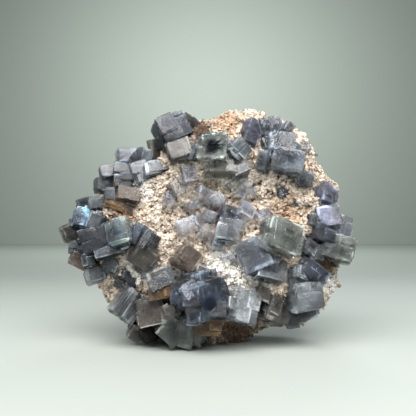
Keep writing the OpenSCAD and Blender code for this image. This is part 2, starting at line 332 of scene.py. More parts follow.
def milky_colour(m, deep, body, pale):
    """Body colour with clouds, then dark flaws, light parts that are partly painted light, the dark core,
    stains, the pale rims and veils with their painted edge highlights, and a painted glint.
    """
    colour = m.cloud.step(0.35, 0.65).mix(darker(body, 0.55), body)
    colour = (m.flaws.step(0.50, 0.32) * 0.55).mix(colour, deep)
    colour = (m.light * 0.7).mix(colour, pale)
    colour = m.core.math("MAXIMUM", m.core, m.dark * 0.9).mix(colour, deep)
    colour = ((m.root.step(0.35, 0.95) * 0.75 + 0.25) * m.warm).mix(colour, WARM)
    colour = (m.cold * m.cloud.step(0.35, 0.6)).mix(colour, COLD)
    colour = m.rim.mix(colour, pale)
    colour = m.veil_and_edge_highlight.mix(colour, pale)
    return m.painted_glint.mix(colour, PAINTED_GLINT)


def crystal_finish(name, deep, body, pale):
    constants = {"IOR": BENDING, "Transmission Weight": 0.92, "Specular IOR Level": SHEEN}
    material, start, clear = new_material(name, constants)
    m = crystal_masks(start)
    height = m.cloud * 0.8 + m.zones * 0.5 + m.flaws * 0.6 + m.speck * 0.04
    bump = start.node("Bump", inputs={"Strength": 0.24, "Distance": 0.0008, "Height": height})
    glass_tint = m.light.mix(tint_of_glass(body, 0.38), tint_of_glass(pale, 0.7))
    feed(clear, "Base Color", start.math("MAXIMUM", m.core, m.dark * 0.7).mix(glass_tint, deep))
    feed(clear, "Roughness", 0.03 + m.speck * 0.08 + m.dark * 0.15)
    feed(clear, "Normal", bump)
    rough = 0.13 + m.dark * 0.25 + m.rim * 0.3 + m.veil_and_edge_highlight * 0.25 + m.speck * 0.08
    body_share = 0.20 + m.milk_share * 0.45 * m.cloud.step(0.35, 0.62) + m.core * 0.35
    opaque = body_share + m.rim * 0.4 + m.veil_and_edge_highlight * 0.5 + m.dark * 0.4
    milky = start.node("BsdfPrincipled", inputs={
        "Base Color": milky_colour(m, deep, body, pale), "Roughness": rough, "Normal": bump, "Alpha": opaque,
        "IOR": BENDING, "Specular IOR Level": SHEEN,
    })
    milk = m.milk_share * 0.4 * m.cloud.step(0.38, 0.58) + 0.16 + m.rim * 0.4 + m.veil_and_edge_highlight * 0.5 + m.core * 0.1
    milk = milk + m.warm * 0.4 + m.cold * 0.4
    glass = Wire(start.tree, clear.outputs[0])
    mixed = start.node("MixShader", inputs={0: milk.step(0.0, 1.0), 1: glass, 2: milky})
    start.tree.links.new(mixed.socket, start.tree.nodes["Material Output"].inputs["Surface"])
    return material


CRYSTAL_COLOURS = {  # the deep colour of cores and shade, the body colour, and the pale one of veils
    "slate": (rgb(22, 30, 46), rgb(88, 102, 126), rgb(188, 202, 222)),
    "smoky": (rgb(40, 36, 34), rgb(104, 99, 95), rgb(196, 190, 186)),
    "clear": (rgb(52, 60, 70), rgb(134, 144, 156), rgb(214, 221, 228)),
    "lavender": (rgb(66, 70, 92), rgb(134, 139, 166), rgb(186, 193, 222)),
    "green": (rgb(28, 36, 44), rgb(112, 120, 118), rgb(204, 216, 210)),
    "amber": (rgb(58, 38, 20), rgb(112, 84, 54), rgb(176, 154, 124)),
}
crystal_finishes = {
    "fluorite_" + name: crystal_finish(name + "_crystal", *colours)
    for name, colours in CRYSTAL_COLOURS.items()
}
print("crystal finishes:", len(crystal_finishes))

# %% [markdown]
# ## Reading a crystal's own axes
# Each packed crystal is a bevelled block that may be cut where it meets a neighbour. Its six big faces
# still show how it lies. The two face directions with the most area that stand square to each other
# give its axes, and the corners measured along them give its size.

# %% Read a crystal's axes
def islands(bm):
    """The separate closed solids of a mesh, as lists of faces, always in the same order."""
    bm.faces.ensure_lookup_table()
    seen = set()
    for first in bm.faces:
        if first.index in seen:
            continue
        seen.add(first.index)
        found = [first]
        for face in found:
            for edge in face.edges:
                for other in edge.link_faces:
                    if other.index not in seen:
                        seen.add(other.index)
                        found.append(other)
        yield found


SAME, PARALLEL, SQUARE = 0.9995, 0.999, 0.003  # cosines that tell how two directions lie
CANDIDATES = 9


def face_directions(faces):
    """[direction, area] of the faces, with opposite sides counted together and the largest first."""
    areas = []
    for face in faces:
        for entry in areas:
            if abs(entry[0].dot(face.normal)) > SAME:
                entry[1] += face.calc_area()
                break
        else:
            areas.append([face.normal.copy(), face.calc_area()])
    return sorted(areas, key=lambda entry: -entry[1])


def crystal_box(faces):
    """(matrix of the axes and middle, edge lengths) of the block that a crystal was cut from."""
    areas = face_directions(faces)
    strongest = [direction for direction, _ in areas[:CANDIDATES]]
    best = None
    for first in strongest:
        for second in strongest:
            if abs(first.dot(second)) < SQUARE:
                frame_of_three = (first, second, first.cross(second))
                area = sum(a for way, a in areas for axis in frame_of_three if abs(way.dot(axis)) > PARALLEL)
                if best is None or area > best[0]:
                    best = (area, frame_of_three)
    axes = Matrix(best[1]).transposed()
    spots = [axes.transposed() @ vert.co for face in faces for vert in face.verts]
    low = Vector([min(s[k] for s in spots) for k in range(3)])
    high = Vector([max(s[k] for s in spots) for k in range(3)])
    turn = Matrix.Translation(axes @ ((low + high) / 2)) @ axes.to_4x4()
    return turn, high - low


TOUCHING = 1e-6  # metres
FLAT_WITHIN = 0.5  # degrees


def clean_copy(node):
    """The node's mesh with its loose triangles joined into flat faces."""
    bm = bmesh.new()
    bm.from_mesh(node.data)
    bmesh.ops.remove_doubles(bm, verts=bm.verts, dist=TOUCHING)
    bmesh.ops.dissolve_limit(bm, angle_limit=math.radians(FLAT_WITHIN), verts=bm.verts, edges=bm.edges)
    return bm


crystal_nodes = [name for name in sorted(nodes) if slot_of[name].startswith("fluorite")]
blocks = {}
for name in crystal_nodes:
    bm = clean_copy(nodes[name])
    blocks[name] = [crystal_box(faces) for faces in islands(bm)]
    bm.free()
print("crystals read:", sum(len(found) for found in blocks.values()), "in", len(blocks), "nodes")

# %% [markdown]
# ## Growing a crystal
# A fluorite cube is never one clean box. Its faces carry low terraces and wave a little, and corners
# and edges are broken off. Each crystal starts as a cube whose faces are cut into a grid, and its edges
# are bevelled. Some rectangles of the grid are raised or sunk by a fraction of a millimetre, smooth
# noise bends the faces, and a few planes take chips away. A small crystal needs no grid. Each one draws
# its own random numbers, so no two are alike. Edges stay sharp where faces meet at a clear angle.

# %% Values and chips
def add_values(bm, values):
    for key, value in values.items():
        layer = bm.verts.layers.float_vector[key]
        for vert in bm.verts:
            vert[layer] = value(vert.co) if callable(value) else value


def everything(bm):
    return bm.verts[:] + bm.edges[:] + bm.faces[:]


def break_corner(bm, edges, rng):
    """Cuts a piece off one corner or one edge and closes the wound."""
    corner = Vector([edges[k] / 2 * rng.choice((-1, 1)) for k in range(3)])
    normal = Vector([corner[k] / edges[k] * rng.uniform(0.5, 1.6) for k in range(3)])
    if rng.random() < 0.5:
        normal[rng.randrange(3)] *= 0.15
    normal.normalize()
    place = corner - normal * min(edges) * rng.uniform(0.05, 0.2)
    cut = bmesh.ops.bisect_plane(bm, geom=everything(bm), plane_co=place, plane_no=normal, clear_outer=True)
    rim = [item for item in cut["geom_cut"] if isinstance(item, bmesh.types.BMEdge)]
    bmesh.ops.holes_fill(bm, edges=rim, sides=0)


# %% Grow one crystal
LARGE, MEDIUM = 13 * MM, 7 * MM  # the shortest edges from which faces get a fine or a coarse grid
FINE_CUTS, COARSE_CUTS = 5, 3
STEP_WIDTH = 0.12 * MM  # how wide the slope of a terrace's edge is
WAVES = 75  # noise scale: faces wave about every 13 mm
CREASE = math.radians(22)


def add_terraces(bm, edges, rng):
    """Raises or sinks a few rectangles of the flat faces by a fraction of a millimetre."""
    least = min(edges)
    for axis in range(3):
        for sign in (-1, 1):
            side = [face for face in bm.faces if face.normal[axis] * sign > PARALLEL]
            others = [k for k in range(3) if k != axis]
            for _ in range(3 if least > LARGE else 1):
                limits = {k: sorted((rng.uniform(-0.5, 0.5), rng.choice((-0.6, 0.6)))) for k in others}
                chosen = [face for face in side if face.is_valid and all(
                    low * edges[k] < face.calc_center_median()[k] < high * edges[k]
                    for k, (low, high) in limits.items()
                )]
                if chosen and rng.random() < 0.6:
                    depth = rng.choice((-1, 1)) * rng.uniform(0.015, 0.06) * least
                    bmesh.ops.inset_region(
                        bm, faces=chosen, thickness=STEP_WIDTH, depth=depth, use_even_offset=True
                    )


def grow_crystal(edges, rng, rounding=None, plain=False):
    """A crystal with these edge lengths around the origin; a plain one has only a few dozen faces."""
    bm = bmesh.new()
    for key in CRYSTAL_VALUES:
        bm.verts.layers.float_vector.new(key)
    least = min(edges)
    bmesh.ops.create_cube(bm, size=1)
    cuts = 0 if plain else FINE_CUTS if least > LARGE else COARSE_CUTS if least > MEDIUM else 0
    if cuts:
        bmesh.ops.subdivide_edges(bm, edges=bm.edges[:], cuts=cuts, use_grid_fill=True)
    bmesh.ops.scale(bm, vec=edges, verts=bm.verts)
    corners = [edge for edge in bm.edges if edge.calc_face_angle() > 1.0]
    rounds = 1 if plain else 3 if rounding else 2 if least > 8 * MM else 1
    bmesh.ops.bevel(
        bm, geom=corners, offset=least * (rounding or rng.uniform(0.014, 0.034)), segments=rounds,
        profile=0.5, affect="EDGES", material=-1
    )
    if cuts:
        add_terraces(bm, edges, rng)
        shift = Vector([rng.uniform(-9, 9) for _ in range(3)])
        for vert in bm.verts:
            vert.co += noise.noise_vector(vert.co * WAVES + shift) * (0.020 * least + 0.10 * MM)
    for _ in range(rng.choice((1, 2, 3, 4)) if least > 9 * MM else rng.choice((0, 1, 2))):
        break_corner(bm, edges, rng)
    shift = Vector([rng.uniform(-0.25, 0.25) for _ in range(3)])
    add_values(bm, {"grown": lambda co: Vector([2 * co[k] / edges[k] for k in range(3)]) + shift})
    for face in bm.faces:
        face.smooth = True
    for edge in bm.edges:
        edge.smooth = edge.calc_face_angle(0) < CREASE
    return bm


trial = grow_crystal(Vector((20, 20, 20)) * MM, random.Random("trial"))
print("faces of a 20 mm crystal:", len(trial.faces))
trial.free()

# %% [markdown]
# ## What each crystal is like
# One object stands for each packed crystal node. Most nodes hold a single crystal; the nodes of small
# ones hold several that stand apart. The eye goes to the large ones first, so they get their own values
# by name, and the others draw theirs. A mood and a tone are what the finish reads. A painted light side
# is the direction in which a crystal is painted lighter, as if the light fell from there. A rounding
# makes the bevels wide where the edges of a crystal were dissolved; the others stay sharp.

# %% Moods, tones, painted light sides and roundings
# the rim's pale frost is partly a painted highlight along the edges
MOODS = {  # how dark the core is, how frosted the rim and how milky the whole, 0 to 1
    "blue_giant": (1.0, 0.2, 0.5), "clear_corner_cube": (0.3, 0.3, 0.6),
    "center_small_crystals": (0.2, 0.0, 0.2), "olive_shelf": (0.2, 0.0, 0.1),
    "center_pale_crystals": (0.1, 0.0, 0.3), "center_mauve_lower": (0.2, 0.0, 0.3),
    "center_clear_block": (0.5, 0.1, 0.3), "center_top_cube": (1.0, 0.9, 0.8),
    "green_cube": (0.3, 0.0, 0.9), "left_blue_tip": (0.3, 0.5, 0.9),
    "lavender_face_cube": (0.0, 0.2, 1.0), "left_dark_block": (0.8, 0.1, 0.2),
    "crown_cube": (0.8, 0.2, 0.4),
}
TONES = {  # how warm above 0 or cold below it, and how light above 0 or dark below it
    "shoulder_cube_lower": (0.0, 0.35), "shoulder_cube_upper": (0.0, 0.2), "center_top_cube": (0.0, 0.2),
    "green_cube": (-0.25, -0.25), "lavender_face_cube": (0.0, 0.55), "lavender_upper_cube": (0.0, 0.4),
    "left_blue_tip": (-1.0, 0.1), "clear_corner_cube": (0.1, 0.8), "ledge_brown_block": (0.8, -0.7),
    "under_crown_slab": (0.4, -0.5), "brown_peak": (1.0, -0.35), "rust_ledge": (1.0, 0.0),
    "left_step_brown": (0.8, -0.3), "lower_brown_cube": (0.6, -0.1), "center_small_crystals": (0.8, 0.35),
    "center_pale_crystals": (0.7, 0.5), "center_mauve_lower": (0.7, 0.4), "center_lavender": (0.2, 0.35),
    "center_clear_block": (0.5, 0.25), "lower_right_block": (0.2, 0.45), "right_slab": (0.0, 0.4),
    "olive_cube": (0.3, 0.4), "blue_giant": (-0.12, -0.55), "left_dark_block": (0.2, -0.9),
    "lamella_stack": (0.4, 0.2), "left_edge_cube": (0.2, -0.9), "left_mid_lower": (0.4, -0.6),
    "left_mid_upper": (0.1, -0.5), "left_small_crystals": (0.2, -0.7), "left_ledge_crystals": (0.2, -0.6),
    "olive_shelf": (0.8, 0.2), "crown_cube": (-0.1, -0.75), "crown_peak": (0.2, -0.3),
    "crown_foot_cube": (0.5, -0.1), "crown_side_block": (0.4, -0.5), "right_dark_cube": (0.1, -0.5),
    "right_dark_wedge": (0.1, -0.4), "amber_wedge": (0.3, -0.4), "foot_left_cube": (0.2, 0.0),
    "yellow_foot": (0.6, -0.1), "rust_block": (0.8, -0.1),
}
# painted light: the direction in which each named crystal is painted lighter
PAINTED_LIGHT_SIDES = {
    "green_cube": (0.5, 0, 0.6), "center_top_cube": (0.1, 0, -1.0), "blue_giant": (-0.2, 0, -0.2),
    "left_blue_tip": (0.6, 0, 0.4), "crown_cube": (-0.35, 0, 0.1), "shoulder_cube_lower": (0, 0, -0.3),
}
ROUNDINGS = {  # the width of the bevels as a share of the shortest edge
    "green_cube": 0.12, "lower_right_block": 0.14, "center_small_crystals": 0.05,
    "center_pale_crystals": 0.06, "center_mauve_lower": 0.05, "brown_peak": 0.08,
    "clear_corner_cube": 0.07, "left_blue_tip": 0.10,
}
print("crystals with their own mood:", len(MOODS), "with their own tone:", len(TONES))

# %% [markdown]
# ## What grows out of a crystal
# Large fluorite crystals are intergrown. Smaller ones stick out of their sides at odd angles, and blocks
# that share a crystal's axes stand proud of it by a step. One crystal at the foot is a stack of thin
# plates. Each of these is described by its place and its edge lengths, just as a packed crystal is, so
# the function that grows a crystal can grow them too.

# %% Side growths, steps and plates
SIDE_GROWTHS = {
    "center_top_cube": 0, "green_cube": 1, "olive_cube": 2, "blue_giant": 11, "lavender_face_cube": 1,
    "center_small_crystals": 0, "center_pale_crystals": 0, "center_lavender": 1, "center_clear_block": 1,
    "center_mauve_lower": 0, "right_slab": 2, "lower_right_block": 3,
}
STEP_GROWTHS = {
    "center_top_cube": 0, "lavender_face_cube": 0, "blue_giant": 16, "green_cube": 2,
    "center_small_crystals": 1, "center_pale_crystals": 1, "brown_peak": 2,
}
USUAL_SIDES = ((17, 4), (12, 3), (8, 1))  # a shortest edge above so many millimetres: so many growths
USUAL_STEPS = ((15, 4), (11, 3), (7, 2))
USUAL_HABIT = (0.06, (0.45, 0.85))  # how far a step may turn, and its share of the crystal's size
STEP_HABITS = {"blue_giant": (0.35, (0.28, 0.6))}
HEART = Vector((0, 0, 0.11))  # the middle of the display face
OUTLINE = 70 * MM  # farther from the heart than this, a side growth never points outwards
STACK = "lamella_stack"
CARDS = (-0.5, -0.40, -0.31, -0.2, -0.13, -0.02, 0.11, 0.19, 0.31, 0.39, 0.5)  # where its plates part
ACROSS_CARDS = Vector((-0.77, 0, 0.64))  # the direction in which the plates lie on each other
CARD_OVERLAP = 1.12
CARD_SHADES = (-0.3, 0.2, 0.6)


def usual_count(least, ladder):
    """How many growths a crystal has, from its shortest edge in millimetres."""
    return next((count for size, count in ladder if least > size), 0)


def small_turn(swing, rng):
    """A small random turn, at most swing about each axis."""
    return Matrix.LocRotScale(None, Euler([rng.uniform(-swing, swing) for _ in range(3)]), None)


def side_growth(turn, edges, rng):
    """The place and size of a smaller crystal that has grown out of one side of a block."""
    sideways = [k for k in range(3) if abs(turn.col[k].y) < 0.6]
    axis, other = rng.sample(sideways, 2) if len(sideways) > 1 else (0, 2)
    share = rng.uniform(0.30, 0.62)
    size = Vector([min(edges) * share * rng.uniform(0.8, 1.3) for _ in range(3)])
    out = Vector((0, 0, 0))
    out[axis] = rng.choice((-1, 1)) * edges[axis] * rng.uniform(0.34, 0.48)
    out[other] = edges[other] * rng.uniform(-0.45, 0.45)
    middle = turn.translation - HEART
    outward = (turn.to_3x3() @ out).dot(Vector((middle.x, 0, middle.z)))
    if outward > 0 and Vector((middle.x, 0, middle.z * 1.2)).length > OUTLINE:
        out = -out
    place = turn @ out + Vector((0, rng.uniform(-0.12, 0.28) * min(edges), 0))
    swing = 0.15 if rng.random() < 0.6 else 0.6
    return Matrix.Translation(place) @ turn.to_3x3().to_4x4() @ small_turn(swing, rng), size


def parallel_growth(turn, edges, rng, swing, shares):
    """The place and size of a block that shares the crystal's axes and stands proud of it by a step."""
    size = Vector([edge * rng.uniform(*shares) for edge in edges])
    gaps = [(edge - part) / 2 for edge, part in zip(edges, size)]
    out = Vector([rng.choice((-1, 1)) * (gap + rng.uniform(-1.0, 2.0) * MM) for gap in gaps])
    return Matrix.Translation(turn @ out) @ turn.to_3x3().to_4x4() @ small_turn(swing, rng), size


def card_growths(turn, edges, rng):
    """The places and sizes of the plates that a layered crystal is a stack of."""
    across = [abs(turn.col[k].to_3d().dot(ACROSS_CARDS)) for k in range(3)]
    axis = across.index(max(across))
    for low, high in zip(CARDS, CARDS[1:]):
        size = Vector([edge + rng.uniform(-3.0, 1.2) * MM for edge in edges])
        size[axis] = (high - low) * edges[axis] * CARD_OVERLAP
        out = Vector([rng.uniform(-0.6, 0.6) * MM for _ in range(3)])
        out[axis] = (low + high) / 2 * edges[axis]
        yield Matrix.Translation(turn @ out) @ turn.to_3x3().to_4x4(), size


print("plates in the stack:", len(CARDS) - 1)

# %% [markdown]
# ## All the crystals
# Every grown crystal is moved to its place and joined to the mesh of its node. Its mood and tone are
# stored on its points there, because how light and how deep a point is depends on where it lies. Nothing
# may reach below the floor.

# %% Grow every crystal node
def keep_above_floor(bm):
    for vert in bm.verts:
        vert.co.z = max(vert.co.z, 0.0)


def to_object(name, bm, material):
    mesh = bpy.data.meshes.new(name)
    bm.to_mesh(mesh)
    bm.free()
    mesh.materials.append(material)
    piece = bpy.data.objects.new(name, mesh)
    bpy.context.scene.collection.objects.link(piece)
    return piece


def plant(whole, turn, edges, rng, mood, tone, painted_light_side=None, rounding=None, plain=False):
    """Grows one crystal and adds it to a mesh in its place."""
    bm = grow_crystal(edges, rng, rounding, plain)
    bmesh.ops.transform(bm, matrix=turn, verts=bm.verts)
    front = min(v.co.y for v in bm.verts)
    depth = max(v.co.y for v in bm.verts) - front
    middle = turn.translation
    # by default the painted light comes mostly from above
    painted_light_side = Vector(painted_light_side) if painted_light_side else Vector((rng.uniform(-0.35, 0.35), 0, rng.uniform(-0.2, 0.4)))

    def tone_at(co):
        """Warmth, lightness (painted lighter towards the side the painted light comes from) and depth below
        the front.
        """
        light = tone[1] + painted_light_side.dot(co - middle) / min(edges) * 2
        return Vector((tone[0], min(1.0, max(-1.0, light)), (co.y - front) / depth))

    add_values(bm, {"mood": Vector(mood), "tone": tone_at})
    single = bpy.data.meshes.new("single")
    bm.to_mesh(single)
    bm.free()
    whole.from_mesh(single)
    bpy.data.meshes.remove(single)


def crystal_piece(name):
    """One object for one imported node, with all that has grown out of its crystals."""
    rng = random.Random(name)
    painted_light_side, rounding = PAINTED_LIGHT_SIDES.get(name), ROUNDINGS.get(name)
    habit = STEP_HABITS.get(name, USUAL_HABIT)
    whole = bmesh.new()
    for turn, edges in blocks[name]:
        mood = MOODS.get(name, (rng.uniform(0.3, 0.9), rng.uniform(0.0, 0.2), rng.uniform(0.1, 0.7)))
        tone = TONES.get(name, (rng.uniform(-0.35, 0.4), rng.choice((-0.2, 0.0, 0.15, 0.3))))
        if name == STACK:
            for place, size in card_growths(turn, edges, rng):
                plant(whole, place, size, rng, mood, (tone[0], rng.choice(CARD_SHADES)))
            continue
        plant(whole, turn, edges, rng, mood, tone, painted_light_side, rounding)
        least = min(edges) / MM
        for _ in range(SIDE_GROWTHS.get(name, usual_count(least, USUAL_SIDES))):
            plant(whole, *side_growth(turn, edges, rng), rng, mood, tone, None, rounding)
        for _ in range(STEP_GROWTHS.get(name, usual_count(least, USUAL_STEPS))):
            plant(whole, *parallel_growth(turn, edges, rng, *habit), rng, mood, tone, painted_light_side, rounding)
    keep_above_floor(whole)
    bmesh.ops.recalc_face_normals(whole, faces=whole.faces)
    piece = to_object(name + "_grown", whole, crystal_finishes[slot_of[name]])
    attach(piece, "root")
    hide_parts(name)
    return piece


crystal_pieces = [crystal_piece(name) for name in crystal_nodes]
print("crystal pieces:", len(crystal_pieces), "faces:", sum(len(p.data.polygons) for p in crystal_pieces))

# %% [markdown]
# ## The rock's shape
# The imported rock layers are smooth swells with sockets for the crystals. A voxel remesh gives them an
# even net of small faces, and each point is then pushed along its normal: lumps a finger wide, grains
# a few millimetres wide, and pits that go deep. Around the small crystals that lie half buried, the
# crust is heaped up. The pits, the sugar, the rust and the spots of stain and painted shade are kept on
# the mesh for the finish; the pits and the low spots of the relief are painted dark, partly as painted shade.

# %% Spots of stain and painted shade, sugar and rust
# stain and painted shade: spots in the gaps between the crystals and under their overhangs, painted dark
# brown
STAIN_AND_PAINTED_SHADE_SPOTS = [  # ((x, z) of the middle, radius) in millimetres
    ((28, 12), 24), ((112, 76), 14), ((-88, 116), 8), ((-50, 14), 22), ((85, 30), 14), ((-112, 96), 24),
    ((-30, 44), 22), ((-92, 150), 14), ((110, 104), 14), ((46, 34), 16), ((-24, 188), 14),
    ((80, 176), 14), ((-6, 206), 14),
]
SUGAR_SPOTS = [
    ((22, 70), 26), ((48, 62), 14), ((28, 164), 16), ((118, 56), 12), ((-68, 72), 14), ((-66, 146), 14),
]
RUST_SPOTS = [
    ((20, 214), 26), ((-80, 126), 18), ((78, 122), 20), ((-10, 72), 20), ((28, 14), 26), ((108, 74), 16),
]
FADE = 20 * MM  # the depth over which the spots of the display side fade out


def spot_share(spots, co, wobble):
    """How much a point lies in one of the round spots, 0 to 1; a spot is full up to half its radius."""
    share = 0.0
    for (x, z), radius in spots:
        away = math.hypot(co.x / MM - x, co.z / MM - z) / radius + wobble
        share = max(share, min(1.0, max(0.0, 1.5 - away)))
    return share * min(1.0, max(0.0, 0.5 - co.y / FADE))


print("spots:", len(STAIN_AND_PAINTED_SHADE_SPOTS), "of gloom,", len(SUGAR_SPOTS), "of sugar,", len(RUST_SPOTS), "of rust")


# %% Remesh and roughen a rock layer
LUMPS, CRAGS = (60, 0.8, 2.1, 3), (190, 0.6, 2.2, 3)  # noise scale, roughness, step in scale, octaves
PITS, FINE_PITS = 170, 380  # noise scales
HEAP_REACH = 1.6  # crystal radii
STANDING = 0.5 * MM  # lower points than this belong to the flat spot, which stays flat


def remeshed(name, voxel):
    """A new mesh object: the node's solid as an even net of faces."""
    bm = bmesh.new()
    bm.from_mesh(nodes[name].data)
    bmesh.ops.remove_doubles(bm, verts=bm.verts, dist=TOUCHING)
    piece = to_object(name + "_rough", bm, rock_finishes[name])
    net = piece.modifiers.new("net", "REMESH")
    net.mode = "VOXEL"
    net.voxel_size = voxel
    bpy.context.view_layer.update()
    evaluated = piece.evaluated_get(bpy.context.evaluated_depsgraph_get())
    fine = bpy.data.meshes.new_from_object(evaluated)
    piece.modifiers.clear()
    piece.data = fine
    return piece


def spread_out(values):
    """The values with their mean taken away, in units of their usual distance from it."""
    mean = sum(values) / len(values)
    usual = math.sqrt(sum((v - mean) ** 2 for v in values) / len(values))
    return [max(-2.0, min(2.0, (v - mean) / usual)) for v in values]


def fractal(co, kind):
    scale, roughness, gain, octaves = kind
    return noise.fractal(co * scale, roughness, gain, octaves)


def heaps(co, buried):
    """How far each half-buried crystal that is near a point lifts the crust there."""
    for middle, radius in buried:
        away = math.hypot(co.x - middle.x, co.z - middle.z) / radius
        if away < HEAP_REACH:
            yield min(1.0, 2.2 * (HEAP_REACH - away)) * (1.6 + 1.8 * noise.noise(co * 130)) * MM


def roughen(piece, lump, crag, pit, buried=()):
    """Pushes every point of a rock layer and stores its pit, sugar, rust, and stain and painted shade values.
    """
    mesh = piece.data
    layers = {key: mesh.attributes.new(key, "FLOAT", "POINT") for key in ROCK_VALUES}
    normals = [v.normal.copy() for v in mesh.vertices]
    places = [v.co.copy() for v in mesh.vertices]
    waves = spread_out([fractal(co, LUMPS) for co in places])
    crags = spread_out([fractal(co, CRAGS) for co in places])
    holes = spread_out([noise.noise(co * PITS) + 0.8 * noise.noise(co * FINE_PITS) for co in places])
    for vert, co, normal, wave, high, hole in zip(mesh.vertices, places, normals, waves, crags, holes):
        sugar = spot_share(SUGAR_SPOTS, co, 0.6 * noise.noise(co * 90))
        hollow = min(1.0, max(0.0, (hole - 0.8) * 0.9)) * (1 - 0.7 * sugar)
        push = lump * wave + crag * (1 - 0.3 * sugar) * high - pit * hollow
        for heap in heaps(co, buried):
            push += heap
        if co.z > STANDING:
            vert.co = co + normal * push
            vert.co.z = max(vert.co.z, 0.0)
        values = {
            # pit holds the sunk pits and the low spots of the relief, which the finish paints dark: partly
            # painted shade
            "pit": max(hollow, min(1.0, max(0.0, -0.3 - 0.6 * high))),
            "sugar": sugar,
            "rust": spot_share(RUST_SPOTS, co, noise.noise(co * 120 + Vector((0, 9, 0)))),
            "stain_and_painted_shade": spot_share(STAIN_AND_PAINTED_SHADE_SPOTS, co, 0.6 * noise.noise(co * 100)),
        }
        for key, value in values.items():
            layers[key].data[vert.index].value = value
    mesh.update()


def stand_for(piece, name):
    piece.data.materials.clear()
    piece.data.materials.append(rock_finishes[name])
    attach(piece, "root")
    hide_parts(name)


# %% Roughen the rock
HALF_BURIED = ("center_small_crystals", "center_pale_crystals", "center_mauve_lower", "center_clear_block")
half_buried = [(turn.translation, sum(edges) / 6) for name in HALF_BURIED for turn, edges in blocks[name]]
ROCK_LAYERS = {  # width of the net, height of lumps and of crags, and depth of pits, in millimetres
    "quartz_crust": (1.4, 0.9, 0.8, 2.4),
    "host_rock": (1.8, 1.6, 1.0, 3.0),
    "iron_lump": (0.8, 0.6, 0.6, 1.2),
}
rocks = {}
for name, (net, lump, crag, pit) in ROCK_LAYERS.items():
    piece = remeshed(name, net * MM)
    buried = half_buried if name == "quartz_crust" else ()
    roughen(piece, lump * MM, crag * MM, pit * MM, buried)
    stand_for(piece, name)
    rocks[name] = piece
crust, plate = rocks["quartz_crust"], rocks["host_rock"]
print("rock faces:", {name: len(piece.data.polygons) for name, piece in rocks.items()})

# %% [markdown]
# ## Grains of quartz
# Up close the crust is a crumble of loose quartz grains from half a millimetre to four millimetres
# wide. Each one is a small lopsided block, sunk about halfway into the crust at a random point of its
# open surface, and grains that would lie inside a crystal are left out. A grain has six faces only,
# because there are thousands of them. The finish is the crust's own, so the grains look like part of it.

# %% Helpers for scattering
TRIES, BATCH = 12, 120  # tries for each spot that is wanted, and solids in a batch
SUNK = -0.2  # a spot this far inside a crystal still counts as outside: in millimetres for a grain,
# and as a share of its smallest size for a druse crystal
crystal_spaces = [(turn.inverted(), edges / 2) for found in blocks.values() for turn, edges in found]


def inside_crystal(co, margin):
    """Whether a point lies in any packed crystal, with the crystals grown by a margin."""
    for back, half in crystal_spaces:
        own = back @ co
        if abs(own.x) < half.x + margin and abs(own.y) < half.y + margin and abs(own.z) < half.z + margin:
            return True
    return False


def pick_spots(meshes, count, rng, allowed):
    """Random points of the meshes with their normals, as far as the points are allowed."""
    found = []
    for _ in range(count * TRIES):
        vert = rng.choice(rng.choice(meshes).vertices)
        if len(found) < count and allowed(vert):
            found.append((vert.co.copy(), vert.normal.copy()))
    return found


def scatter(name, layers, spots, rng, make, material, slot):
    """A piece with one small solid at each spot, made in batches because a small mesh is quick to edit."""
    whole = bmesh.new()
    for start in range(0, len(spots), BATCH):
        batch = bmesh.new()
        for key, kind in layers.items():
            getattr(batch.verts.layers, kind).new(key)
        for co, growth in spots[start:start + BATCH]:
            make(batch, co, growth, rng)
        mesh = bpy.data.meshes.new("batch")
        batch.to_mesh(mesh)
        batch.free()
        whole.from_mesh(mesh)
        bpy.data.meshes.remove(mesh)
    keep_above_floor(whole)
    bmesh.ops.recalc_face_normals(whole, faces=whole.faces)
    piece = to_object(name, whole, material)
    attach(piece, "root")
    print(name, "solids:", len(spots), "faces:", len(piece.data.polygons))
    return piece


# %% Scatter the grains
GRAIN_SIZES = (0.8, 1.0, 1.2, 1.5, 1.8, 2.6)  # in millimetres
CRUST_GRAINS, PLATE_GRAINS = 11500, 2500


def add_grain(bm, co, normal, rng):
    size = rng.choice(GRAIN_SIZES) * MM * rng.uniform(0.8, 1.2)
    turn = Euler([rng.uniform(0, math.tau) for _ in range(3)])
    stretch = Vector([size * rng.uniform(0.7, 1.3) for _ in range(3)])
    place = Matrix.LocRotScale(co + normal * size * rng.uniform(-0.1, 0.4), turn, stretch)
    values = {
        "pit": rng.choice((0.0, 0.0, 0.15, 0.45)),
        "sugar": spot_share(SUGAR_SPOTS, co, 0.0),
        "rust": spot_share(RUST_SPOTS, co, 0.3),
        "stain_and_painted_shade": spot_share(STAIN_AND_PAINTED_SHADE_SPOTS, co, 0.2),
    }
    for vert in bmesh.ops.create_cube(bm, size=1, matrix=place)["verts"]:
        vert.co = vert.co.lerp(co, rng.uniform(-0.1, 0.25))
        for key, value in values.items():
            vert[bm.verts.layers.float[key]] = value


def grain_piece(name, source, count, finish, slot):
    rng = random.Random(name)

    def allowed(vert):
        return vert.normal.y < 0.3 and not inside_crystal(vert.co, SUNK * MM)

    spots = pick_spots([source.data], count, rng, allowed)
    return scatter(name, {key: "float" for key in ROCK_VALUES}, spots, rng, add_grain, finish, slot)


grain_piece("crust_grains", crust, CRUST_GRAINS, crust_finish, "quartz_crust")
grain_piece("plate_grains", plate, PLATE_GRAINS, back_finish, "host_rock")

# %% [markdown]
# ## Druse
# Between the large crystals the rock is not bare: many smaller cubes, from two millimetres to more
# than a centimetre wide, fill the gaps. Geologists call such a coat a druse. They are grown like
# the large ones, but with flat faces and a single bevel segment, so each has a few dozen faces.

